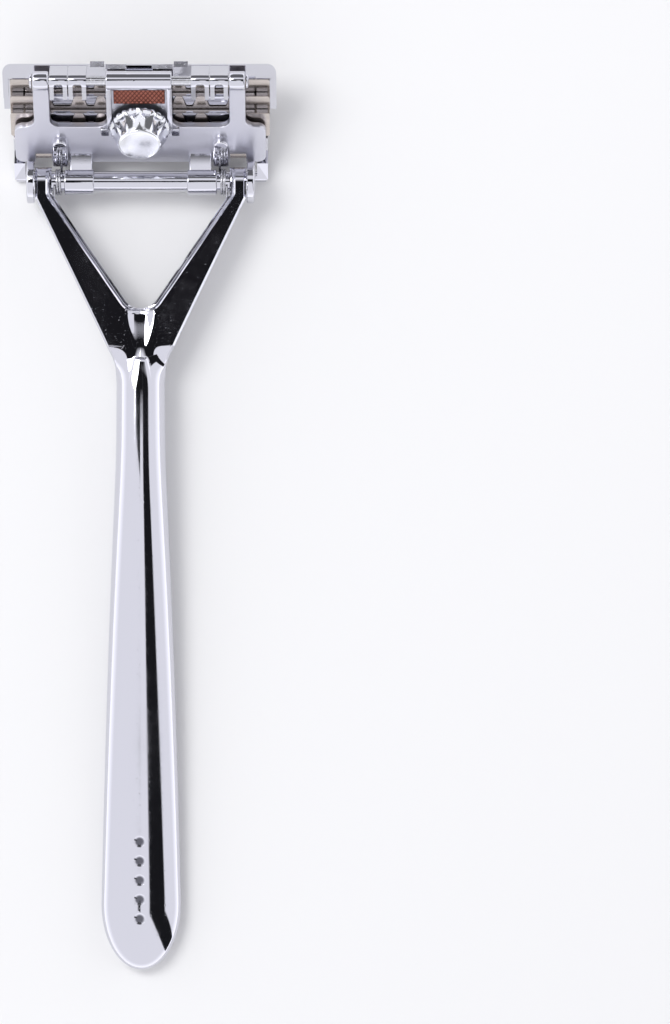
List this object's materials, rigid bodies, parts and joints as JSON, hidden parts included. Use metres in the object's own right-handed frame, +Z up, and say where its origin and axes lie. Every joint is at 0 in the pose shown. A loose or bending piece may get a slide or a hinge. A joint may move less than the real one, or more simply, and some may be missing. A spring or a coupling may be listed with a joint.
{
  "type": "cartridge razor",
  "caption": "All-metal pivoting safety razor with a Y-shaped handle and a hinged head that clamps halved blades under a fluted knob",
  "frame": {"origin": "the point on the table under the middle of the razor as it lies on its guard and butt, knob up", "axes": "+X along the blades, +Y from the butt to the head, +Z up from the table"},
  "size_m": [0.045, 0.1496, 0.0198],
  "materials": {
    "chrome": "polished bright plating",
    "knob_chrome": "polished bright plating",
    "blade_steel": "satin strip steel",
    "pin_steel": "turned steel",
    "spring_wire": "drawn spring wire",
    "magnet_steel": "dull nickel plating",
    "copper": "copper-coloured etched panel"
  },
  "bodies": {
    "handle": {"handle_casting": "chrome", "pivot_rod": "chrome", "pivot_cap_left": "chrome", "pivot_cap_right": "chrome", "return_spring_left": "spring_wire", "return_spring_right": "spring_wire"},
    "yoke": {"yoke_plate": "chrome", "hinge_pin": "pin_steel", "hinge_pin_head_left": "chrome", "hinge_pin_head_right": "chrome", "name_panel": "copper"},
    "blade_head": {"blade_1": "blade_steel", "blade_2": "blade_steel", "blade_3": "blade_steel", "blade_magnet_1_left": "magnet_steel", "blade_magnet_1_right": "magnet_steel", "blade_magnet_2_left": "magnet_steel", "blade_magnet_2_right": "magnet_steel", "blade_shelf_1": "chrome", "blade_shelf_2": "chrome", "cap_frame": "chrome"},
    "knob_seat": {"knob_collar": "pin_steel"},
    "knob": {"knob": "knob_chrome", "knob_screw": "pin_steel"}
  },
  "joints": [
    {"name": "head_pivot", "type": "hinge", "parent": "handle", "child": "yoke", "pos_m": [0, 0.0555, 0.0054], "axis": [1, 0, 0], "range_deg": [0, 40], "stiffness_Nm_per_rad": 0.02, "springref_deg": -28.65, "deforming": ["return_spring_left", "return_spring_right"]},
    {"name": "head_opening", "type": "hinge", "parent": "yoke", "child": "blade_head", "pos_m": [0, 0.07151, 0.01818], "axis": [1, 0, 0], "range_deg": [0, 70]},
    {"name": "knob_travel", "type": "slide", "parent": "yoke", "child": "knob_seat", "axis": [0, -0.7771, 0.6293], "range_m": [0, 0.0015]},
    {"name": "knob_spin", "type": "hinge", "parent": "knob_seat", "child": "knob", "pos_m": [0, 0.06429, 0.01079], "axis": [0, -0.7771, 0.6293], "range_deg": [0, 1081]}
  ],
  "couplings": [
    {"joint": "knob_spin", "follows": "knob_travel", "rad_per_m": 12566}
  ]
}
